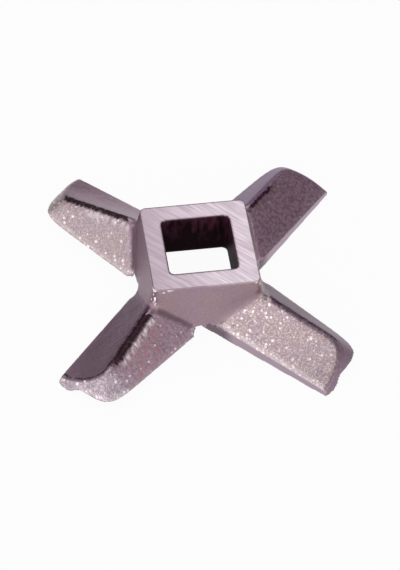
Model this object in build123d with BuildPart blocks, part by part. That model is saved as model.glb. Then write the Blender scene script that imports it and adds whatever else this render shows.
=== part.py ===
from build123d import *
import os
from math import cos, radians, sin, sqrt, tan

os.makedirs("parts", exist_ok=True)

# Meat grinder knife, size 12: one casting with a square hub and four ridged arms.
# Millimetres. Z runs from the cutting plane (z = 0) up to the hub's ground top.
# Each arm is drawn in its own frame: u outward from the axis, v across the arm
# (the cutting edge lies at negative v), z up. The arms stand on the diagonals.

# --- the hub ---
HUB_HEIGHT = 11.4  # cutting plane to the ground top face
HUB_TOP = 18.5  # side of the square top face
HUB_DRAFT = 10.8  # degrees each side leans outward on its way down
HUB_CORNER_R = 1.0  # rounding of its upright corners at the top
HUB_FOOT_R = 1.5  # and at the cutting plane
SQUARE = 12.0  # side of the square drive hole
SQUARE_CORNER_R = 0.95
RECESS_R = 12.0  # hollow under the hub: radius at the cutting plane
RECESS_DEPTH = 2.6
RECESS_WALL = 20.0  # degrees the hollow's walls lean

# --- the arms ---
ARMS = 4
SWEEP_R = 32.0  # radius the tips sweep
EDGE_OFFSET = 6.9  # cutting edge line: distance from the arm's centreline at the axis
EDGE_TOE = 1.8  # degrees the cutting edge closes in on the centreline outward
EDGE_ROOT_H = 2.15  # height of the upright cutting strip beside the hub
EDGE_TIP_H = 1.2  # height of the same strip at the tip
BACK_OFFSET = 8.1  # trailing edge line: distance from the centreline at the axis
BACK_TOE = 5.6  # degrees the trailing edge closes in outward
BACK_SLOPE = 44.3  # degrees the trailing face leans over from upright
RIDGE_ROOT_Z = 8.4  # ridge line beside the hub, before it is rounded
RIDGE_TIP_Z = 4.4  # ridge line where it would reach the tip radius
RIDGE_R = 1.0  # rounding along the ridge and round the end
SCOOP = 0.2  # how far the leading face hollows below a straight ramp

# --- the curled end of an arm, at the height of the lifted underside ---
END_START = 9.05  # it leaves the trailing face this far inside the sweep
END_CORNER = 1.45  # its outer corner is pulled this far past the sweep
END_CORNER_LEAN = 0.78  # inward lean of that corner for each millimetre of rise
END_FACE = 0.7  # its middle is pulled to this far inside the sweep
END_FACE_V = 4.4  # and to this far from the centreline
END_FACE_LEAN = 1.19  # inward lean of the middle for each millimetre of rise
END_FACE_SKEW = 0.65  # its drift toward the cutting edge for each millimetre of rise
END_TOE = 0.6  # beside the cutting edge it stands upright, this far inside the sweep

# --- under the arms ---
LAND = 2.2  # width of the flat cutting land behind the edge
POCKET_R = 8.8  # the lands start at this radius, round the square hole
LAND_GAP = 0.3  # an arm's relief stays this far off the next arm's land
RELIEF = 1.5  # how far the underside behind the land is lifted
RELIEF_RAMP = 36.0  # degrees of the ramp from the land to the lifted underside
RELIEF_R = 1.7  # rounding at the top of that ramp

# --- the gaps between the arms ---
GAP_BITE = 0.82  # how far a gap's floor cuts into the hub's foot, beside the strip
GAP_FALL = 0.4  # the floor is this much further out beside the trailing face
GAP_STEP = 2.5  # distance of a gap's short side wall from the hub's middle plane
GAP_STEP_R = 1.2
GAP_EDGE_R = 1.2  # radius where a cutting strip leaves the hub

OVER = 2.0  # how far a raw or cutting shape runs past what bounds it
SPARE = 0.2  # the smallest such overrun
FOOT = HUB_TOP + 2 * HUB_HEIGHT * tan(radians(HUB_DRAFT))  # the hub at z = 0
GAP_DEPTH = FOOT / 2 - GAP_BITE
ROOT_U = HUB_TOP / sqrt(2)  # where an arm comes out of the hub's corner
INNER_U = SQUARE / 2  # the arms start inside the hub
OUTER_U = SWEEP_R + OVER
SKIRT_U = SWEEP_R - END_START - SPARE  # nearer in, the ridge stands above the end
SIDE_V = -EDGE_OFFSET - OVER / 2  # the raw arm is wider than its cutting edge


def edge_v(u):
    """Cutting edge line of an arm."""
    return u * tan(radians(EDGE_TOE)) - EDGE_OFFSET


def back_v(u, z=RELIEF):
    """Trailing face of an arm at height z; its lower edge is at the relief."""
    rise = (z - RELIEF) * tan(radians(BACK_SLOPE))
    return BACK_OFFSET - u * tan(radians(BACK_TOE)) - rise


def along(u, root, tip):
    """A height that changes evenly from the hub to the tip."""
    return root + (tip - root) * (u - ROOT_U) / (SWEEP_R - ROOT_U)


def front(u, t):
    """Leading face of an arm: t is 0 on the cutting strip and 1 on the ridge."""
    strip_z = along(u, EDGE_ROOT_H, EDGE_TIP_H)
    ridge_z = along(u, RIDGE_ROOT_Z, RIDGE_TIP_Z)
    v = edge_v(u) + (back_v(u, ridge_z) - edge_v(u)) * t
    z = strip_z + (ridge_z - strip_z) * t - 4 * SCOOP * t * (1 - t)
    return (v, z)


def end_curve(z):
    """Control points of the arm's end at height z, from the trailing face round
    the outer corner to the leading side. Higher up, the end leans inward at the
    corner and stays upright at the cutting edge."""
    lift = z - RELIEF
    start_u = SWEEP_R - END_START
    corner_u = SWEEP_R + END_CORNER - END_CORNER_LEAN * lift
    face_u = SWEEP_R - END_FACE - END_FACE_LEAN * lift
    return [
        (start_u, back_v(start_u, z)),
        (corner_u, back_v(corner_u, z)),
        (face_u, END_FACE_V - END_FACE_SKEW * lift),
        (SWEEP_R - END_TOE, SIDE_V),
    ]


def strip_point(u):
    """A point of the cutting edge line of the arm that stands at -45 degrees."""
    return ((u + edge_v(u)) / sqrt(2), (edge_v(u) - u) / sqrt(2))


# The bar under the leading face: an upright side, then the scooped ramp, carried
# past the ridge so that the skirt can trim it.
with BuildPart() as bar:
    for u in (INNER_U, OUTER_U):
        with BuildSketch(Plane.YZ.offset(u)):
            with BuildLine():
                near = front(u, -0.3)
                past = front(u, 1.2)
                far = (past[0] + BACK_OFFSET, past[1] + BACK_OFFSET)
                ThreePointArc(near, front(u, 0.5), past)
                Polyline(past, far, (far[0], -OVER), (near[0], -OVER), near)
            make_face()
    loft(ruled=True)

# The skirt: the flat trailing face and the end that curls round the outer corner.
SKIRT_Z = along(SKIRT_U, RIDGE_ROOT_Z, RIDGE_TIP_Z) + SPARE
with BuildPart() as skirt:
    for z in (-OVER, SKIRT_Z):
        with BuildSketch(Plane.XY.offset(z)):
            with BuildLine():
                ends = end_curve(z)
                Bezier(*ends)
                Polyline(ends[3], (0, SIDE_V), (0, back_v(0, z)), ends[0])
            make_face()
    loft(ruled=True)
    # The trailing face carries on upward beside the hub.
    for z in (SKIRT_Z, HUB_HEIGHT):
        with BuildSketch(Plane.XY.offset(z)):
            with BuildLine():
                outer = [(SKIRT_U, SIDE_V), (SKIRT_U, back_v(SKIRT_U, z))]
                Polyline((0, SIDE_V), *outer, (0, back_v(0, z)), close=True)
            make_face()
    loft(ruled=True)

# One raw arm: the bar trimmed by the skirt, its ridge rounded round to the tip.
with BuildPart() as arm:
    add(bar.part)
    add(skirt.part, mode=Mode.INTERSECT)
    ridge = arm.edges().filter_by(
        lambda e: e.center().Z > RELIEF and e.center().X > ROOT_U and abs(e.center().Y) < 2
    )
    fillet(ridge, RIDGE_R)
    split(bisect_by=Plane.XY, keep=Keep.TOP)

# The gap between two arms, drawn where it faces -Y: a short wall beside the
# trailing face, a floor along the hub, and the next arm's cutting strip.
FLOOR_U = (GAP_DEPTH * sqrt(2) - EDGE_OFFSET) / (1 - tan(radians(EDGE_TOE)))
with BuildSketch() as gap:
    with BuildLine():
        step = (-GAP_STEP, -GAP_DEPTH - GAP_FALL)
        strip = strip_point(FLOOR_U)
        clear = [strip_point(2 * SWEEP_R), (-GAP_STEP, -2 * SWEEP_R)]
        Polyline(step, strip, *clear, close=True)
    make_face()
    fillet(gap.vertices().sort_by_distance(step)[0], GAP_STEP_R)
    fillet(gap.vertices().sort_by_distance(strip)[0], GAP_EDGE_R)

# The strip of underside that carries a cutting land in under the hub.
with BuildSketch() as land:
    with BuildLine():
        inner = [(0, edge_v(0)), (0, edge_v(0) + LAND)]
        outer = [(SWEEP_R, edge_v(SWEEP_R) + LAND), (SWEEP_R, edge_v(SWEEP_R))]
        Polyline(*inner, *outer, close=True)
    make_face()
    Circle(POCKET_R, mode=Mode.SUBTRACT)

# The hollow under the hub, between the lands.
with BuildPart() as hollow:
    with BuildSketch():
        Circle(RECESS_R)
    extrude(amount=RECESS_DEPTH, taper=RECESS_WALL)
    with BuildSketch():
        with PolarLocations(0, ARMS, start_angle=45):
            add(land.sketch)
    extrude(amount=RECESS_DEPTH, mode=Mode.SUBTRACT)

with BuildPart() as knife:
    # Hub: a square boss whose sides lean outward as they go down.
    with BuildSketch():
        RectangleRounded(FOOT, FOOT, HUB_FOOT_R)
    with BuildSketch(Plane.XY.offset(HUB_HEIGHT)):
        RectangleRounded(HUB_TOP, HUB_TOP, HUB_CORNER_R)
    loft(ruled=True)
    # Arms on the diagonals.
    with PolarLocations(0, ARMS, start_angle=45):
        add(arm.part)
    # Gaps between the arms; their walls are the upright cutting strips.
    with BuildSketch(Plane.XY.offset(-OVER)):
        with PolarLocations(0, ARMS):
            add(gap.sketch)
    extrude(amount=HUB_HEIGHT + 2 * OVER, mode=Mode.SUBTRACT)
    # Lifted underside of each arm behind its land, square to the cutting edge.
    for k in range(ARMS):
        stand = radians(45 + 90 * k)
        aim = radians(45 + 90 * k + EDGE_TOE)
        clear = EDGE_OFFSET + LAND_GAP  # past the next arm's land
        start = (
            clear * cos(stand) - edge_v(clear) * sin(stand),
            clear * sin(stand) + edge_v(clear) * cos(stand),
            0,
        )
        across = (-sin(aim), cos(aim), 0)
        side_on = Plane(origin=start, x_dir=across, z_dir=(cos(aim), sin(aim), 0))
        with BuildSketch(side_on) as under:
            with BuildLine():
                ramp = 1 / tan(radians(RELIEF_RAMP))
                top = (LAND + RELIEF * ramp, RELIEF)
                reach = EDGE_OFFSET + BACK_OFFSET
                foot_line = [(reach, -OVER), (LAND - OVER * ramp, -OVER)]
                Polyline(top, (reach, RELIEF), *foot_line, close=True)
            make_face()
            fillet(under.vertices().sort_by_distance((*top, 0))[0], RELIEF_R)
        extrude(amount=OUTER_U, mode=Mode.SUBTRACT)
    add(hollow.part, mode=Mode.SUBTRACT)
    # Square drive hole.
    with BuildSketch(Plane.XY.offset(-OVER)):
        RectangleRounded(SQUARE, SQUARE, SQUARE_CORNER_R)
    extrude(amount=HUB_HEIGHT + 2 * OVER, mode=Mode.SUBTRACT)
knife.part.label = "knife"
export_step(knife.part, "parts/knife.step")
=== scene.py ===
from math import cos, radians, sin, tan
import bmesh
import bpy
import numpy as np
from mathutils import Matrix, Vector
from mathutils.bvhtree import BVHTree
from mathutils.kdtree import KDTree


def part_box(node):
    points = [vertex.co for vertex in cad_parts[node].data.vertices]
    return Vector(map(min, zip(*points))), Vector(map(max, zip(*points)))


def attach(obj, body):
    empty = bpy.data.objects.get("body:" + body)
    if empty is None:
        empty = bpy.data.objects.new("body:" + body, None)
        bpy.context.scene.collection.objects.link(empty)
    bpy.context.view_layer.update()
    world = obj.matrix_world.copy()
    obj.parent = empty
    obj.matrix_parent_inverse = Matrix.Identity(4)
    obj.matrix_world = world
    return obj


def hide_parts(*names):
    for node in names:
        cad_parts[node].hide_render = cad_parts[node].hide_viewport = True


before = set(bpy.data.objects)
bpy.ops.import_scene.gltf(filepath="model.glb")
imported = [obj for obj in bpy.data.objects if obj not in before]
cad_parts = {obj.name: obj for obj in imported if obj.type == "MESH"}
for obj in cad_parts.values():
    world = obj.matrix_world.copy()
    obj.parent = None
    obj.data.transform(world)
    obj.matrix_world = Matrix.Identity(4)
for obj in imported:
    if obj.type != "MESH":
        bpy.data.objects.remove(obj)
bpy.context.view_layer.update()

# --- Camera -----------------------------------------------------------------
# It looks down on the hub from the front left with a long lens, and is rolled a
# few degrees about its own axis.
MM = 0.001
VIEW_UP = radians(51.24)
VIEW_ROUND = radians(11.02)  # from the hub's front toward its left side
VIEW_ROLL = radians(-3.19)
VIEW_DISTANCE = 453.4 * MM
VIEW_ASIDE = (-0.453 * MM, -0.163 * MM)  # the hole's axis from the picture's middle
LENS = 162.95  # mm, for a frame 36 mm on its long side

level_right = Vector((cos(VIEW_ROUND), -sin(VIEW_ROUND), 0))
level_up = Vector(
    (sin(VIEW_ROUND) * sin(VIEW_UP), cos(VIEW_ROUND) * sin(VIEW_UP), cos(VIEW_UP))
)
back = level_right.cross(level_up)
right = level_right * cos(VIEW_ROLL) - level_up * sin(VIEW_ROLL)
up = level_right * sin(VIEW_ROLL) + level_up * cos(VIEW_ROLL)
scene = bpy.context.scene
camera = bpy.data.objects.new("camera", bpy.data.cameras.new("camera"))
camera.data.lens = LENS
camera_place = back * VIEW_DISTANCE - right * VIEW_ASIDE[0] - up * VIEW_ASIDE[1]
camera.matrix_world = (
    Matrix.Translation(camera_place) @ Matrix((right, up, back)).transposed().to_4x4()
)
scene.collection.objects.link(camera)
scene.camera = camera

# --- The casting --------------------------------------------------------------
# One piece of cast steel, a square hub with four ridged arms. It was poured in a
# mould, so its valleys are rounded, and then blasted, which left a grainy skin.
# The hub's top, the cutting strips and the lands under them are ground smooth.
SKIN_STEP = 0.235 * MM  # spacing of the mesh that carries the skin
EDGE_CATCH = 0.1 * MM  # a vertex this near a sharp edge is moved onto it
WELD = 0.001 * MM
RIM_BEND, VALLEY_BEND = radians(35), radians(18)  # least bend of a rim and of a valley
POINTS_PER_STEP = 8  # along rims and valleys, for each step of the mesh
# The lines of an arm: offset from its centreline at the axis, and how they toe in.
EDGE_OFFSET, EDGE_TOE = 6.9 * MM, radians(1.8)
BACK_OFFSET, BACK_TOE = 8.1 * MM, radians(5.6)
BACK_SLOPE = radians(44.3)
RIDGE_IN = (13.08 * MM, 8.4 * MM)  # ridge beside the hub: distance out, height
RIDGE_OUT = (32.0 * MM, 4.4 * MM)  # and at the sweep
RELIEF = 1.5 * MM
HOLE_HALF = 6.0 * MM
HUB_OUTSIDE = 8 * MM  # what lies further out than this is clear of the hole's walls
FOOT_HALF = 11.0 * MM  # the arms begin outside this, near the hub's foot
HUB_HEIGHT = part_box("knife")[1].z
# The cast rounding: how high and how far out its valleys start, how far it spreads
# from them on an arm's leading side and back, and how hard it is smoothed.
ROUNDED_ABOVE, ROUNDED_BEYOND = 2.7 * MM, 9 * MM
LEAD_VALLEY, BACK_VALLEY = 2.0 * MM, 0.6 * MM
VALLEY_PASSES, VALLEY_WEIGHT = 60, 0.8
RIM_REACH = 1.5 * MM  # how far the painted edge highlight spreads from a sharp rim


def nearest(places, points):
    """The point nearest to each place, and how far away it is."""
    search = KDTree(len(points))
    for i, point in enumerate(points):
        search.insert(point, i)
    search.balance()
    found = [search.find(place) for place in places]
    return np.array([point for point, _, _ in found]), np.array([gap for _, _, gap in found])


def falling(values, reach):
    """1 at nothing, falling smoothly to 0 at the reach."""
    share = np.clip(1 - values / reach, 0, 1)
    return share * share * (3 - 2 * share)


def smoothed(values, ends, passes, weight):
    """Moves each vertex's value toward the mean of its neighbours."""
    values = values.reshape(len(values), -1)
    count = np.bincount(ends.ravel(), minlength=len(values))[:, None]
    for _ in range(passes):
        total = np.zeros_like(values)
        for axis in range(values.shape[1]):
            total[:, axis] += np.bincount(ends[:, 0], values[ends[:, 1], axis], len(values))
            total[:, axis] += np.bincount(ends[:, 1], values[ends[:, 0], axis], len(values))
        values = values + (total / count - values) * weight
    return values


def arm_lines(points):
    """Where points lie on their own arm: quarter turn, out along it and across it."""
    quarter = np.floor(np.arctan2(points[:, 1], points[:, 0]) / radians(90))
    stand = (quarter + 0.5) * radians(90)
    out = points[:, 0] * np.cos(stand) + points[:, 1] * np.sin(stand)
    across = points[:, 1] * np.cos(stand) - points[:, 0] * np.sin(stand)
    return quarter, stand, out, across


def ridge_at(out):
    """The ridge's place across its arm."""
    outward = (out - RIDGE_IN[0]) / (RIDGE_OUT[0] - RIDGE_IN[0])
    rise = RIDGE_IN[1] + (RIDGE_OUT[1] - RIDGE_IN[1]) * outward - RELIEF
    return BACK_OFFSET - out * tan(BACK_TOE) - rise * tan(BACK_SLOPE)


def baked(thing):
    """The object's mesh with its modifiers applied."""
    graph = bpy.context.evaluated_depsgraph_get()
    return bpy.data.meshes.new_from_object(thing.evaluated_get(graph))


def spaced(edges):
    """Points spaced along edges."""
    points = []
    for edge in edges:
        a, b = edge.verts[0].co, edge.verts[1].co
        count = max(1, int((b - a).length / SKIN_STEP * POINTS_PER_STEP))
        points += [a.lerp(b, i / count) for i in range(count + 1)]
    return np.array(points)


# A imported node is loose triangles: they are joined in a copy.
cad_bm = bmesh.new()
cad_bm.from_mesh(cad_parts["knife"].data)
bmesh.ops.remove_doubles(cad_bm, verts=cad_bm.verts, dist=WELD)
cad_mesh = bpy.data.meshes.new("welded")
cad_bm.to_mesh(cad_mesh)
knife = bpy.data.objects.new("knife_body", cad_mesh)
scene.collection.objects.link(knife)
remesh = knife.modifiers.new("even spacing", "REMESH")
remesh.mode = "VOXEL"
remesh.voxel_size = SKIN_STEP
skin = baked(knife)
knife.modifiers.remove(remesh)
knife.data = skin

# Each vertex goes back onto the casting's own surface, whose facing it remembers,
# and onto a sharp rim that is near.
cast_surface = BVHTree.FromBMesh(cad_bm)
place = np.empty((len(skin.vertices), 3))
facing = np.empty_like(place)
for i, vertex in enumerate(skin.vertices):
    place[i], facing[i] = cast_surface.find_nearest(vertex.co)[:2]
ends = np.empty(len(skin.edges) * 2, np.int32)
skin.edges.foreach_get("vertices", ends)
ends = ends.reshape(-1, 2)
rims = spaced([e for e in cad_bm.edges if e.calc_face_angle_signed() > RIM_BEND])
valleys = spaced([e for e in cad_bm.edges if e.calc_face_angle_signed() < -VALLEY_BEND])
cad_bm.free()
on_rim, rim_gap = nearest(place, rims)
caught = rim_gap < EDGE_CATCH
place[caught] = on_rim[caught]
rim_gap[caught] = 0

# The valleys beside the hub are rounded.
valley_from_axis = abs(valleys[:, :2]).max(axis=1)
valleys = valleys[(valleys[:, 2] > ROUNDED_ABOVE) & (valley_from_axis > ROUNDED_BEYOND)]
_, _, valley_out, valley_across = arm_lines(valleys)
on_back = valley_across > ridge_at(valley_out)
soft = np.maximum(
    falling(nearest(place, valleys[~on_back])[1], LEAD_VALLEY),
    falling(nearest(place, valleys[on_back])[1], BACK_VALLEY),
)
place = smoothed(place, ends, VALLEY_PASSES, soft[:, None] * VALLEY_WEIGHT)
skin.vertices.foreach_set("co", place.ravel().astype(np.float32))
skin.update()
normals = np.empty(len(place) * 3, np.float32)
skin.vertices.foreach_get("normal", normals)
leans = normals.reshape(-1, 3)[:, 2]  # how far the rounded skin looks up

quarter, stand, out, across = arm_lines(place)
height = place[:, 2]
from_axis = abs(place[:, :2]).max(axis=1)
edge_line = out * tan(EDGE_TOE) - EDGE_OFFSET
faces_across = facing[:, 1] * np.cos(stand) - facing[:, 0] * np.sin(stand)
faces_up = facing[:, 2]

# The ground faces and the hole's walls: how level or upright such a face is, and
# how far from its own plane a vertex may lie.
LEVEL, UPRIGHT = 0.9, 0.25
TOP_GAP, LAND_GAP, STRIP_GAP, HOLE_GAP = 0.1 * MM, 0.05 * MM, 0.06 * MM, 0.05 * MM
STRIP_HEIGHT = 2.5 * MM
upright = abs(faces_up) < UPRIGHT
top = (faces_up > LEVEL) & (height > HUB_HEIGHT - TOP_GAP)
land = (faces_up < -LEVEL) & (height < LAND_GAP)
strip = upright & (abs(across - edge_line) < STRIP_GAP) & (height < STRIP_HEIGHT)
beside_hole = upright & (from_axis < HOLE_HALF + HOLE_GAP)

# The valley behind each arm at the hub's foot is darkened with painted shade, which also dims a
# highlight there.
FOOT_LEANS = (0.42, 0.68)
FOOT_BAND = (9.3 * MM, 12.5 * MM)  # from the hole's axis
FOOT_BEHIND = 1 * MM  # from the ridge
foot = (leans > FOOT_LEANS[0]) & (leans < FOOT_LEANS[1]) & (height > ROUNDED_ABOVE)
foot = foot & (from_axis > FOOT_BAND[0]) & (from_axis < FOOT_BAND[1])
foot = foot & (across - ridge_at(out) > FOOT_BEHIND)

# The arms, by their quarter turn.
BACK_RIGHT, BACK_LEFT, FRONT_LEFT, FRONT_RIGHT = 0, 1, -2, -1

# The hub's front left corner and the brink of its top carry painted highlights: more and wider
# bright pits there, whose facets also lean further to catch the lamps.
CORNER_TURN = 0.35  # how far both of the corner's sides are turned from the axes
CORNER_ABOVE = 7.0 * MM
BRINK_DEPTH, BRINK_OUTSIDE = 0.6 * MM, 8.5 * MM
BRINK_FROM = (-5.5 * MM, -8 * MM)  # the brink lies further left and further front
corner = upright & (abs(facing[:, :2]).min(axis=1) > CORNER_TURN)
corner = corner & (height > CORNER_ABOVE) & (from_axis > HUB_OUTSIDE)
brink = ~top & (height > HUB_HEIGHT - BRINK_DEPTH) & (from_axis > BRINK_OUTSIDE)
brink = brink & (place[:, 0] < BRINK_FROM[0]) & (place[:, 1] < BRINK_FROM[1])
corner = (corner | brink) & (quarter == FRONT_LEFT)

# An arm's leading face, and all that lies beyond its ridge and its curled end.
LEAD_ACROSS, LEAD_UP = 0.3, 0.6  # the least that it looks across its arm and up
LEAD_FROM = 9 * MM  # out along the arm
UNDERCUT = 0.5  # what looks down more than this is the arm's underside
LAND_CLEAR = 0.1 * MM
lead = (faces_across < -LEAD_ACROSS) & (faces_up > LEAD_UP) & (out > LEAD_FROM)
beyond = ~lead & ~strip & (faces_up > -UNDERCUT)
beyond = beyond & (from_axis > FOOT_HALF) & (height > LAND_CLEAR)

# Distance into the leading face from the ridge and the curled end, less than 0
# beyond them, and at its greatest on the hub.
CREST_MOST = 9 * MM
FACE_WIDTH = 8.9 * MM  # a leading face is this wide at most
# Up to the curl, nothing in this band along the cutting edge counts as beyond.
EDGE_BAND, CURL_START = 1.0 * MM, 26 * MM
crest = np.full(len(place), CREST_MOST)
past_edge = (across < edge_line + EDGE_BAND) & (out < CURL_START)
crest[lead] = nearest(place[lead], place[beyond & ~past_edge])[1]
crest[beyond] = -nearest(place[beyond], place[lead])[1]

# A dark band beside each ridge is painted shade of the crease there, inside a wider halo
# of softer painted shade: the band's distance into the leading face, its half width and
# how far out it runs.
SHADED_CREASES = {
    BACK_RIGHT: (0.2 * MM, 0.35 * MM, 21 * MM),
    BACK_LEFT: (-0.3 * MM, 0.6 * MM, 27 * MM),
    FRONT_LEFT: (-0.25 * MM, 0.85 * MM, 24.5 * MM),
    FRONT_RIGHT: (-1.2 * MM, 0.4 * MM, 27 * MM),
}
CREASE_FADE, SHADE_FADE = 3 * MM, 4 * MM
SHADE_SPREAD = 1.4 * MM
shaded_crease = np.zeros(len(place))
shade = np.zeros(len(place))
for turn, (inside, half, reach) in SHADED_CREASES.items():
    band = falling(abs(crest - inside), 2 * half) * falling(out - reach, CREASE_FADE)
    halo = falling(abs(crest - inside), 2 * half + SHADE_SPREAD) * falling(out - reach, SHADE_FADE)
    shaded_crease = np.where(quarter == turn, band, shaded_crease)
    shade = np.where(quarter == turn, halo, shade)

# Painted shade also darkens two faces toward the hub: its strength at the hub, how far
# out that holds, and over what length it fades.
painted_shade_faces = (
    (1.85, 13 * MM, 14 * MM, (quarter == FRONT_LEFT) & (crest > 0) & (crest < FACE_WIDTH)),
    (1.5, 17 * MM, 11 * MM, (quarter == FRONT_RIGHT) & (crest <= 0) & (from_axis > FOOT_HALF)),
)
for strength, start, length, face in painted_shade_faces:
    shade += strength * falling(out - start, length) * face

# On one arm a narrow band of the crease's painted shade also runs round inside the curled end.
END_SHADE_INSIDE, END_SHADE_HALF = 0.55 * MM, 0.35 * MM
END_SHADE_FROM, END_SHADE_FADE = 25 * MM, 3 * MM
END_SHADE_STRENGTH = 0.65
end_shade = falling(abs(crest - END_SHADE_INSIDE), END_SHADE_HALF) * falling(END_SHADE_FROM - out, END_SHADE_FADE)
shaded_crease = np.maximum(shaded_crease, END_SHADE_STRENGTH * end_shade * (quarter == FRONT_LEFT))

# On two arms bright strokes are painted just past the shaded crease: a painted highlight where the
# ridge's crest catches the light.
LIP_PAST, LIP_HALF = 1.5 * MM, 1.2 * MM
LIP_RUN, LIP_FADE = (12 * MM, 23.5 * MM), 2 * MM
LIP_STRENGTHS = {FRONT_LEFT: 1.0, BACK_LEFT: 0.4}
lip_strength = sum(share * (quarter == turn) for turn, share in LIP_STRENGTHS.items())
lip = falling(abs(crest + LIP_PAST), LIP_HALF) * falling(out - LIP_RUN[1], LIP_FADE)
lip = lip * lip_strength * (out > LIP_RUN[0])

# The back of one arm has a faint bloom of rust.
BLOOM_PLACE = np.array((-11.0, -15.5, 4.5)) * MM
BLOOM_REACH = 9 * MM
bloom = falling(np.linalg.norm(place - BLOOM_PLACE, axis=1), BLOOM_REACH)
bloom = bloom * (crest < 0) * (quarter == FRONT_LEFT)

# The blasting left each face its own finish: its tint, its share of bright pits and how
# mottled it is, first on an arm's leading side and then on its back. The tints are partly
# the steel's own tone and partly painted light and shade, darker on faces that get less
# light, and the bright pits are painted highlights, most on faces toward a lamp.
ARM_FINISHES_AND_SHADING = {
    BACK_RIGHT: (("#AF8D9F", 0.2, 1.0), ("#83698A", 0.1, 0.3)),
    BACK_LEFT: (("#9E8394", 0.1, 0.4), ("#A49698", 0.65, 0.3)),
    FRONT_LEFT: (("#8C7482", 0.05, 0.2), ("#AC94A0", 0.45, 0.6)),
    FRONT_RIGHT: (("#A69697", 1.0, 0.4), ("#978090", 0.1, 0.3)),
}
# The hub's left side is tinted darker than its front: painted shade.
HUB_FRONT_FINISH_AND_SHADING = ("#A58E96", 0.05, 0.1)
HUB_LEFT_FINISH_AND_SHADING = ("#88707F", 0.05, 0.1)
UNDER_FINISH = ("#A28A93", 0.1, 0.3)  # of all that looks down more than this
UNDER_LEAN = 0.3
# The front left arm's curled end has its own, past a slanting border.
END_FINISH_AND_SHADING = ("#AA9DA7", 1.0, 0.5)
END_START, END_PIVOT, END_SLANT = 27.3 * MM, 5 * MM, 0.1
HUB_CREST = 8 * MM  # an upright face with a greater crest distance is the hub's
SOFT_WEIGHT = 0.5  # of each round of smoothing between finishes and at masks' borders
FINISH_PASSES = 6


def linear(code):
    """An sRGB hex colour as linear RGBA."""
    parts = [int(code[i : i + 2], 16) / 255 for i in (1, 3, 5)]
    return [p / 12.92 if p < 0.04045 else ((p + 0.055) / 1.055) ** 2.4 for p in parts] + [1]


hub_side = upright & (crest > HUB_CREST) & (from_axis > HUB_OUTSIDE)
past_end = out > END_START - (across + END_PIVOT) * END_SLANT
finishes_and_shading = [
    (facing[:, 1] <= facing[:, 0], HUB_FRONT_FINISH_AND_SHADING),
    (facing[:, 1] > facing[:, 0], HUB_LEFT_FINISH_AND_SHADING),
]
for turn, (ahead, behind) in ARM_FINISHES_AND_SHADING.items():
    on_arm = ~hub_side & (quarter == turn)
    finishes_and_shading += [(on_arm & (crest > 0), ahead), (on_arm & (crest <= 0), behind)]
finishes_and_shading.append(((quarter == FRONT_LEFT) & (crest < 0) & past_end, END_FINISH_AND_SHADING))
finishes_and_shading.append((faces_up < -UNDER_LEAN, UNDER_FINISH))
finish_and_shading = np.zeros((len(place), 5))
for chosen, (colour, pits, mottling) in finishes_and_shading:
    finish_and_shading[chosen] = linear(colour)[:3] + [pits, mottling]
finish_and_shading = smoothed(finish_and_shading, ends, FINISH_PASSES, SOFT_WEIGHT)

# Masks with soft borders: which vertices, and how many rounds of smoothing.
masks = {
    "ground": (top | land | strip, 1),
    "strip": (strip, 1),
    "hole": (beside_hole, 2),
    "corner": (corner, 3),
    "foot": (foot, 3),
    "lead": (lead, 4),
}
fields = {
    "rim": falling(rim_gap, RIM_REACH),
    "shaded_crease": shaded_crease,
    "shade": shade,
    "lip": lip,
    "bloom": bloom,
    "pits": finish_and_shading[:, 3],
    "mottling": finish_and_shading[:, 4],
    "out": out / MM,
    "across": across / MM,
    "quarter": quarter,
}
for name, (chosen, passes) in masks.items():
    fields[name] = smoothed(chosen * 1.0, ends, passes, SOFT_WEIGHT)
for name, values in fields.items():
    attribute = skin.attributes.new(name, "FLOAT", "POINT")
    attribute.data.foreach_set("value", np.ravel(values).astype(np.float32))
attribute = skin.attributes.new("tint", "FLOAT_COLOR", "POINT")
rgba = np.concatenate([finish_and_shading[:, :3], np.ones((len(place), 1))], axis=1)
attribute.data.foreach_set("color", rgba.ravel().astype(np.float32))
skin.polygons.foreach_set("use_smooth", [True] * len(skin.polygons))
skin.update()

# The steel was blasted with steel shot: its skin is dull and grainy, and its pits
# flash where they face a lamp, and are painted near white as painted highlights too.
# The ground faces are lighter, with the wheel's straight scratches. The drive hole keeps
# its dark casting scale.
PIT_SPACING, LEAN_SPACING = 0.7 * MM, 0.4 * MM  # of the pits and of their facets
RIM_PITS = 0.55  # how many more pits a rim has
CORNER_WIDER = 0.25  # how much wider pits are on the bright corner
PIT_LEAN, CORNER_LEAN = 0.36, 0.8  # how far a facet leans, and how much more at the corner
CORNER_UPWARD = 0.6  # how far the corner's facets look up
PIT_ROUGHNESS = -0.1  # added to the steel's own
RIM_GLINT = 0.3
STREAKS_PER_MM = 2.2  # in the crease's painted shade
STREAK_STRETCH = (1.0, 0.3, 7.0)  # out along the arm, across it, and by quarter turn
CREASE_GAIN = 1.9
CREASE_SCALE_SHARE = 0.7  # share of the crease's painted shade drawn with the dark scale shader
GRAIN = 0.28 * MM
SCRATCHES = (0.16 * MM, 0.6 * MM)  # width of the fine and of the broad ones
SCRATCH_STRETCH = (20, 1, 1)
SCRATCH_TURN = radians(-45)  # from corner to corner
DROPS = 0.9 * MM  # mottling of the hole's scale, drawn out downward
DROP_STRETCH = (1, 1, 0.3)
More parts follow.
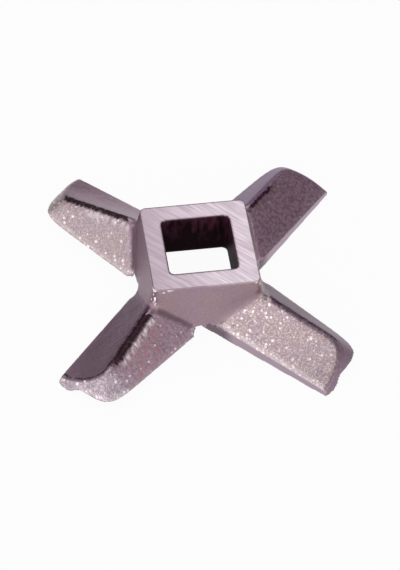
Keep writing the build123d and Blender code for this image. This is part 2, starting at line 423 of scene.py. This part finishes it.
# Patterns that cover the casting: size and detail, the low and high value that are
# spread out, and what they become.
PATTERNS = {
    "blotches": (5.0 * MM, 2.0, 0.35, 0.65, 0.0, 1.0),
    "pit_share": (2.5 * MM, 1.0, 0.35, 0.65, 0.15, 0.6),
    "rust": (1.2 * MM, 2.0, 0.4, 0.65, 0.0, 0.6),
    "dull_spots": (0.6 * MM, 3.0, 0.38, 0.62, 0.6, 0.0),
    "hollows": (GRAIN, 2.0, 0.3, 0.7, 0.3, 0.0),
    "peaks": (GRAIN, 2.0, 0.5, 0.7, 0.0, 0.35),
}


def add(tree, kind, links=None, **settings):
    """Adds a node with its settings, and links its inputs or sets their values."""
    made = tree.nodes.new(kind)
    for key, value in settings.items():
        setattr(made, key, value)
    for socket, source in (links or {}).items():
        if isinstance(source, bpy.types.Node):
            source = next(output for output in source.outputs if output.enabled)
        if isinstance(source, bpy.types.NodeSocket):
            tree.links.new(source, made.inputs[socket])
        else:
            made.inputs[socket].default_value = source
    return made


def empty_tree(owner):
    """The node tree of a material or a world, with nothing in it."""
    owner.use_nodes = True
    owner.node_tree.nodes.clear()
    return owner.node_tree


# A Mix node's inputs 6 and 7 are its two colours.
def layered(tree, colour, layers):
    """Lays more colours over one: what shows each of them, its weight and its hex."""
    for shown, weight, code in layers:
        share = add(tree, "ShaderNodeMath", {0: shown, 1: weight}, operation="MULTIPLY")
        links = {0: share, 6: colour, 7: linear(code)}
        colour = add(tree, "ShaderNodeMix", links, data_type="RGBA")
    return colour


steel = bpy.data.materials.new("blasted_cast_steel")
tree = empty_tree(steel)
where = add(tree, "ShaderNodeTexCoord").outputs["Object"]
grain = add(tree, "ShaderNodeTexNoise", {"Vector": where, "Scale": 1 / GRAIN, "Detail": 2.0})
drawn = {}
for name, (size, detail, low, high, at_low, at_high) in PATTERNS.items():
    links = {"Vector": where, "Scale": 1 / size, "Detail": detail}
    plain = add(tree, "ShaderNodeTexNoise", links)
    links = {"Value": plain, "From Min": low, "From Max": high, "To Min": at_low, "To Max": at_high}
    drawn[name] = add(tree, "ShaderNodeMapRange", links)
at = {}
for name in fields:
    at[name] = add(tree, "ShaderNodeAttribute", attribute_name=name).outputs["Fac"]

# Shining pits, painted near white as painted highlights: round spots in some cells of a
# pattern, in more of them along the cutting edge and on the hub's bright corner.
spots = add(tree, "ShaderNodeTexVoronoi", {"Vector": where, "Scale": 1 / PIT_SPACING})
chance = add(tree, "ShaderNodeSeparateColor", {0: spots.outputs["Color"]}).outputs
rim_highlight = add(tree, "ShaderNodeMath", {0: at["rim"], 1: at["pits"]}, operation="MULTIPLY")
links = {0: drawn["pit_share"], 1: at["pits"]}
wanted = add(tree, "ShaderNodeMath", links, operation="MULTIPLY")
links = {0: rim_highlight, 1: RIM_PITS, 2: wanted}
wanted = add(tree, "ShaderNodeMath", links, operation="MULTIPLY_ADD")
wanted = add(tree, "ShaderNodeMath", {0: wanted, 1: at["corner"]}, operation="MAXIMUM")
excess = add(tree, "ShaderNodeMath", {0: wanted, 1: chance[0]}, operation="SUBTRACT")
picked = add(tree, "ShaderNodeMapRange", {"Value": excess, "From Max": 0.12})
wide = add(tree, "ShaderNodeMapRange", {"Value": chance[1], "To Min": 0.26, "To Max": 0.5})
links = {0: at["corner"], 1: CORNER_WIDER, 2: wide}
wide = add(tree, "ShaderNodeMath", links, operation="MULTIPLY_ADD")
links = {0: wide, 1: spots.outputs["Distance"]}
inward = add(tree, "ShaderNodeMath", links, operation="SUBTRACT")
spot = add(tree, "ShaderNodeMapRange", {"Value": inward, "From Max": 0.18})
shine = add(tree, "ShaderNodeMath", {0: picked, 1: spot}, operation="MULTIPLY")

# Painted glints: the peaks of the grain are painted near white, and more of them along a rim, as a
# painted edge highlight.
links = {0: rim_highlight, 1: RIM_GLINT}
rim_glint = add(tree, "ShaderNodeMath", links, operation="MULTIPLY")
links = {0: drawn["peaks"], 1: at["pits"], 2: rim_glint}
glint = add(tree, "ShaderNodeMath", links, operation="MULTIPLY_ADD")
links = {0: drawn["dull_spots"], 1: at["mottling"]}
mottled = add(tree, "ShaderNodeMath", links, operation="MULTIPLY")
rusty = add(tree, "ShaderNodeMath", {0: at["bloom"], 1: drawn["rust"]}, operation="MULTIPLY")

# The crease's painted shade has streaks across the ridge, and the painted highlight
# strokes past it have too.
own = add(tree, "ShaderNodeCombineXYZ", {0: at["out"], 1: at["across"], 2: at["quarter"]})
own = add(tree, "ShaderNodeMapping", {"Vector": own, "Scale": STREAK_STRETCH})
links = {"Vector": own, "Scale": STREAKS_PER_MM, "Detail": 2.0}
streak = add(tree, "ShaderNodeTexNoise", links)
links = {"Value": streak, "From Min": 0.3, "From Max": 0.7, "To Min": -0.9, "To Max": 0.0}
streak_gaps = add(tree, "ShaderNodeMapRange", links)
links = {0: at["shaded_crease"], 1: CREASE_GAIN, 2: streak_gaps}
crease_shading = add(tree, "ShaderNodeMath", links, operation="MULTIPLY_ADD")
links = {"Value": crease_shading, "From Min": 0.05, "From Max": 0.95}
crease_shading = add(tree, "ShaderNodeMapRange", links)
links = {"Value": streak, "From Min": 0.42, "From Max": 0.58, "To Max": 0.75}
highlight_stroke = add(tree, "ShaderNodeMapRange", links)
highlight_stroke = add(tree, "ShaderNodeMath", {0: highlight_stroke, 1: at["lip"]}, operation="MULTIPLY")
clear = add(tree, "ShaderNodeMath", {0: 1.0, 1: crease_shading}, operation="SUBTRACT")
highlight_stroke = add(tree, "ShaderNodeMath", {0: highlight_stroke, 1: clear}, operation="MULTIPLY")

# The blasted steel's colour: each face's tint, and over it what the skin shows. Of these
# layers the shade, the crease and the foot are painted shade, and the glints, the shining
# pits and the strokes are painted highlights.
tint = add(tree, "ShaderNodeAttribute", attribute_name="tint").outputs["Color"]
links = {0: drawn["blotches"], 6: linear("#F7F5FC"), 7: linear("#FCF8F4")}
blotched = add(tree, "ShaderNodeMix", links, data_type="RGBA")
links = {0: 1.0, 6: tint, 7: blotched}
cast_colour = add(tree, "ShaderNodeMix", links, data_type="RGBA", blend_type="MULTIPLY")
cast_layers = [
    (drawn["hollows"], 1.0, "#75626C"),
    (mottled, 1.0, "#62505C"),
    (at["shade"], 0.4, "#5A4053"),
    (glint, 1.0, "#F4E8EA"),
    (shine, 0.6, "#F4E6E8"),
    (rusty, 1.0, "#A87880"),
    (crease_shading, 0.85, "#332630"),
    (highlight_stroke, 1.0, "#F0E4E8"),
    (at["foot"], 0.7, "#4A3840"),
]
cast_colour = layered(tree, cast_colour, cast_layers)

# The facets in the pits lean all ways, so that some throw a lamp's light back.
cells = add(tree, "ShaderNodeTexVoronoi", {"Vector": where, "Scale": 1 / LEAN_SPACING})
links = {0: cells.outputs["Color"], 1: (0.5, 0.5, 0.5)}
lean = add(tree, "ShaderNodeVectorMath", links, operation="SUBTRACT")
upward = add(tree, "ShaderNodeMath", {0: at["corner"], 1: CORNER_UPWARD}, operation="MULTIPLY")
upward = add(tree, "ShaderNodeCombineXYZ", {2: upward})
lean = add(tree, "ShaderNodeVectorMath", {0: lean, 1: upward}, operation="ADD")
links = {0: at["corner"], 1: CORNER_LEAN, 2: PIT_LEAN}
amount = add(tree, "ShaderNodeMath", links, operation="MULTIPLY_ADD")
amount = add(tree, "ShaderNodeMath", {0: shine, 1: amount}, operation="MULTIPLY")
lean = add(tree, "ShaderNodeVectorMath", {0: lean, "Scale": amount}, operation="SCALE")
links = {"Strength": 0.35, "Distance": 0.05 * MM, "Height": grain}
normal = add(tree, "ShaderNodeBump", links)
normal = add(tree, "ShaderNodeVectorMath", {0: normal, 1: lean}, operation="ADD")
normal = add(tree, "ShaderNodeVectorMath", {0: normal}, operation="NORMALIZE")
links = {"Value": at["lead"], "To Min": 0.42, "To Max": 0.36}
roughness = add(tree, "ShaderNodeMapRange", links)
links = {0: shine, 1: PIT_ROUGHNESS, 2: roughness}
roughness = add(tree, "ShaderNodeMath", links, operation="MULTIPLY_ADD")
links = {"Base Color": cast_colour, "Metallic": 1.0, "Roughness": roughness, "Normal": normal}
blasted = add(tree, "ShaderNodeBsdfPrincipled", links)

# The ground faces: the wheel's scratches, fine and broad ones, run across the hub's
# top from corner to corner. Their left part is darker, painted shade. The strips are of
# one tone, set darker as painted shade, and darker still at their inmost end, a painted
# shadow under the hub.
links = {"Vector": where, "Rotation": (0, 0, SCRATCH_TURN), "Scale": SCRATCH_STRETCH}
turned = add(tree, "ShaderNodeMapping", links, vector_type="TEXTURE")
fine, broad = [
    add(tree, "ShaderNodeTexNoise", {"Vector": turned, "Scale": 1 / width, "Detail": 1.0})
    for width in SCRATCHES
]
scratched = add(tree, "ShaderNodeMath", {0: fine, 1: broad}, operation="ADD")
scratched = add(tree, "ShaderNodeMath", {0: scratched, 1: 0.5}, operation="MULTIPLY")
scratch_light = add(
    tree, "ShaderNodeMapRange", {"Value": scratched, "From Min": 0.38, "From Max": 0.62}
)
links = {0: scratch_light, 6: linear("#A697A2"), 7: linear("#C6BAC2")}
ground_colour = add(tree, "ShaderNodeMix", links, data_type="RGBA")
along = add(tree, "ShaderNodeSeparateXYZ", {0: where}).outputs
links = {"Value": along[0], "From Min": -9 * MM, "From Max": 3 * MM, "To Min": 0.6, "To Max": 0.0}
left_shade = add(tree, "ShaderNodeMapRange", links)
links = {"Value": at["out"], "From Min": 10.5, "From Max": 12.5, "To Min": 0.7, "To Max": 0.0}
inmost_shade = add(tree, "ShaderNodeMapRange", links)
inmost_shade = add(tree, "ShaderNodeMath", {0: at["strip"], 1: inmost_shade}, operation="MULTIPLY")
ground_layers = [
    (left_shade, 1.0, "#8A7884"),
    (at["strip"], 1.0, "#A894A2"),
    (inmost_shade, 1.0, "#4A3844"),
]
ground_colour = layered(tree, ground_colour, ground_layers)
links = {"Strength": 0.3, "Distance": 0.02 * MM, "Height": scratched}
normal = add(tree, "ShaderNodeBump", links)
links = {"Base Color": ground_colour, "Metallic": 1.0, "Roughness": 0.4, "Normal": normal}
ground = add(tree, "ShaderNodeBsdfPrincipled", links)

# The drive hole's scale, an oxide and no bare metal: mottled, and lighter near the top.
drops = add(tree, "ShaderNodeMapping", {"Vector": where, "Scale": DROP_STRETCH})
mottle = add(tree, "ShaderNodeTexNoise", {"Vector": drops, "Scale": 1 / DROPS, "Detail": 3.0})
links = {"Value": along[2], "From Min": 3 * MM, "From Max": 11 * MM, "To Min": -0.12, "To Max": 0.1}
near_top = add(tree, "ShaderNodeMapRange", links)
mottle = add(tree, "ShaderNodeMath", {0: mottle, 1: near_top}, operation="ADD")
mottle = add(tree, "ShaderNodeMapRange", {"Value": mottle, "From Min": 0.45, "From Max": 0.75})
links = {0: mottle, 6: linear("#140106"), 7: linear("#482434")}
scale_colour = add(tree, "ShaderNodeMix", links, data_type="RGBA")
links = {"Base Color": scale_colour, "Roughness": 0.6, "Specular IOR Level": 0.03}
scale = add(tree, "ShaderNodeBsdfPrincipled", links)

# The dark scale shader is the hole's real oxide, and over part of the crease it is painted shade.
scale_and_crease_shade = add(tree, "ShaderNodeMath", {0: crease_shading, 1: CREASE_SCALE_SHARE}, operation="MULTIPLY")
scale_and_crease_shade = add(tree, "ShaderNodeMath", {0: scale_and_crease_shade, 1: at["hole"]}, operation="MAXIMUM")
surface = add(tree, "ShaderNodeMixShader", {0: at["ground"], 1: blasted, 2: ground})
surface = add(tree, "ShaderNodeMixShader", {0: scale_and_crease_shade, 1: surface, 2: scale})
add(tree, "ShaderNodeOutputMaterial", {0: surface})

# The blasted skin stands in the mesh: a fine grain over a slow swell everywhere but
# on the ground faces and in the hole, and a rough, streaked band sunk beside each ridge.
RIM_CALM = -0.8  # the skin lies this much flatter on a rim
LIP_RAGGED = 0.6  # how ragged the skin is under the painted highlight strokes, beside the shaded crease
NOISE_GAIN = 4.0  # noise keeps mostly to a quarter of its full range
SKIN_SIZES = {
    "Grain size": 0.55 * MM,  # coarser than the real one, for the mesh to hold it
    "Grain height": 0.02 * MM,
    "Swell size": 5.0 * MM,
    "Swell height": 0.035 * MM,
    "Crease pitch": 0.5 * MM,
    "Crease height": 0.09 * MM,
    "Crease depth": 0.06 * MM,
}
tree = bpy.data.node_groups.new("cast skin", "GeometryNodeTree")
sockets = tree.interface
sockets.new_socket("Geometry", in_out="INPUT", socket_type="NodeSocketGeometry")
for name in SKIN_SIZES:
    sockets.new_socket(name, in_out="INPUT", socket_type="NodeSocketFloat")
sockets.new_socket("Material", in_out="INPUT", socket_type="NodeSocketMaterial")
sockets.new_socket("Geometry", in_out="OUTPUT", socket_type="NodeSocketGeometry")
given = add(tree, "NodeGroupInput").outputs
on_mesh = {}
for name in ("out", "across", "quarter", "ground", "hole", "rim", "shaded_crease", "lip"):
    kind = "GeometryNodeInputNamedAttribute"
    on_mesh[name] = add(tree, kind, {"Name": name}, data_type="FLOAT").outputs[0]


def rough(size, height, vector=None):
    """A rise and fall of about this height, whose swells are about this size."""
    per_metre = add(tree, "ShaderNodeMath", {0: 1.0, 1: size}, operation="DIVIDE")
    links = {"Scale": per_metre, "Detail": 1.0}
    if vector:
        links["Vector"] = vector
    plain = add(tree, "ShaderNodeTexNoise", links).outputs["Fac"]
    level = add(tree, "ShaderNodeMath", {0: plain, 1: 0.5}, operation="SUBTRACT")
    full = add(tree, "ShaderNodeMath", {0: height, 1: NOISE_GAIN}, operation="MULTIPLY")
    return add(tree, "ShaderNodeMath", {0: level, 1: full}, operation="MULTIPLY")


fine_rise = rough(given["Grain size"], given["Grain height"])
slow_rise = rough(given["Swell size"], given["Swell height"])
rise = add(tree, "ShaderNodeMath", {0: fine_rise, 1: slow_rise}, operation="ADD")
bare = add(tree, "ShaderNodeMath", {0: on_mesh["ground"], 1: on_mesh["hole"]}, operation="MAXIMUM")
bare = add(tree, "ShaderNodeMath", {0: 1.0, 1: bare}, operation="SUBTRACT")
rise = add(tree, "ShaderNodeMath", {0: rise, 1: bare}, operation="MULTIPLY")
links = {0: on_mesh["rim"], 1: RIM_CALM, 2: 1.0}
calm = add(tree, "ShaderNodeMath", links, operation="MULTIPLY_ADD")
rise = add(tree, "ShaderNodeMath", {0: rise, 1: calm}, operation="MULTIPLY")
stretched = {}
for axis, name in enumerate(("out", "across", "quarter")):
    links = {0: on_mesh[name], 1: STREAK_STRETCH[axis] * MM}
    stretched[axis] = add(tree, "ShaderNodeMath", links, operation="MULTIPLY")
own = add(tree, "ShaderNodeCombineXYZ", stretched)
ragged = add(tree, "ShaderNodeMath", {0: on_mesh["lip"], 1: LIP_RAGGED}, operation="MULTIPLY")
ragged = add(tree, "ShaderNodeMath", {0: on_mesh["shaded_crease"], 1: ragged}, operation="MAXIMUM")
torn = rough(given["Crease pitch"], given["Crease height"], own)
links = {0: torn, 1: ragged, 2: rise}
rise = add(tree, "ShaderNodeMath", links, operation="MULTIPLY_ADD")
links = {0: given["Crease depth"], 1: on_mesh["shaded_crease"]}
sunk = add(tree, "ShaderNodeMath", links, operation="MULTIPLY")
rise = add(tree, "ShaderNodeMath", {0: rise, 1: sunk}, operation="SUBTRACT")
normal = add(tree, "GeometryNodeInputNormal").outputs[0]
push = add(tree, "ShaderNodeVectorMath", {0: normal, "Scale": rise}, operation="SCALE")
moved = add(tree, "GeometryNodeSetPosition", {"Geometry": given["Geometry"], "Offset": push})
real = add(tree, "GeometryNodeRealizeInstances", {"Geometry": moved})
links = {"Geometry": real, "Material": given["Material"]}
dressed = add(tree, "GeometryNodeSetMaterial", links)
add(tree, "NodeGroupOutput", {"Geometry": dressed})

grow = knife.modifiers.new("cast skin", "NODES")
grow.node_group = tree
for item in tree.interface.items_tree:
    if item.name in SKIN_SIZES:
        grow[item.identifier] = SKIN_SIZES[item.name]
    if item.name == "Material":
        grow[item.identifier] = steel
knife.data = baked(knife)
knife.modifiers.remove(grow)
for vertex in knife.data.vertices:  # nothing stands below the plane of the lands
    vertex.co.z = max(vertex.co.z, 0)

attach(knife, "root")
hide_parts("knife")

# --- Floor ----------------------------------------------------------------------
# A table top of white laminate, pressed smooth. To the eye and in the steel it is
# near white, and it keeps the knife's shadow.
FLOOR_HALF = 2.0
FLOOR_WHITE = 0.95  # share that the camera and reflections see as plain white
corners = [(-1, -1), (1, -1), (1, 1), (-1, 1)]
floor_corners = [(x * FLOOR_HALF, y * FLOOR_HALF, 0) for x, y in corners]
floor_mesh = bpy.data.meshes.new("floor")
floor_mesh.from_pydata(floor_corners, [], [(0, 1, 2, 3)])
floor = bpy.data.objects.new("floor", floor_mesh)
scene.collection.objects.link(floor)
laminate = bpy.data.materials.new("white_laminate")
tree = empty_tree(laminate)
ray = add(tree, "ShaderNodeLightPath").outputs
links = {0: ray["Is Glossy Ray"], 1: ray["Is Transmission Ray"]}
seen = add(tree, "ShaderNodeMath", links, operation="MAXIMUM")
seen = add(tree, "ShaderNodeMath", {0: ray["Is Camera Ray"], 1: seen}, operation="MAXIMUM")
seen = add(tree, "ShaderNodeMath", {0: seen, 1: FLOOR_WHITE}, operation="MULTIPLY")
shadowed = add(tree, "ShaderNodeBsdfDiffuse", {"Color": linear("#BBBBBB")})
white = add(tree, "ShaderNodeEmission", {"Strength": 1.0})
surface = add(tree, "ShaderNodeMixShader", {0: seen, 1: shadowed, 2: white})
add(tree, "ShaderNodeOutputMaterial", {0: surface})
floor_mesh.materials.append(laminate)

# --- Light ------------------------------------------------------------------------
# Round soft lamps stand round the knife: azimuth from the front toward the right,
# elevation, power in watts, and diameter. The room adds a plain light from all sides.
LAMP_DISTANCE = 0.8
LAMPS = {
    "front_right_low": (30, 12, 3.97, 1.3),
    "front_left_low": (330, 12, 2.3, 0.8),
    "left_low": (270, 12, 2.37, 0.8),
    "front_left_high": (315, 57, 1.9, 0.8),
    "back_high": (180, 57, 2.36, 0.8),
}
ROOM_LIGHT = 0.385
for name, (azimuth, elevation, power, size) in LAMPS.items():
    lamp = bpy.data.objects.new(name, bpy.data.lights.new(name, "AREA"))
    lamp.data.shape = "DISK"
    lamp.data.size = size
    lamp.data.energy = power
    a, e = radians(azimuth), radians(elevation)
    toward = Vector((sin(a) * cos(e), -cos(a) * cos(e), sin(e)))
    facing_knife = toward.to_track_quat("Z", "Y").to_matrix().to_4x4()
    lamp.matrix_world = Matrix.Translation(toward * LAMP_DISTANCE) @ facing_knife
    scene.collection.objects.link(lamp)

world = bpy.data.worlds.new("studio")
scene.world = world
tree = empty_tree(world)
room = add(tree, "ShaderNodeBackground", {"Color": linear("#FFFFFF"), "Strength": ROOM_LIGHT})
add(tree, "ShaderNodeOutputWorld", {0: room})

scene.view_settings.view_transform = "Standard"
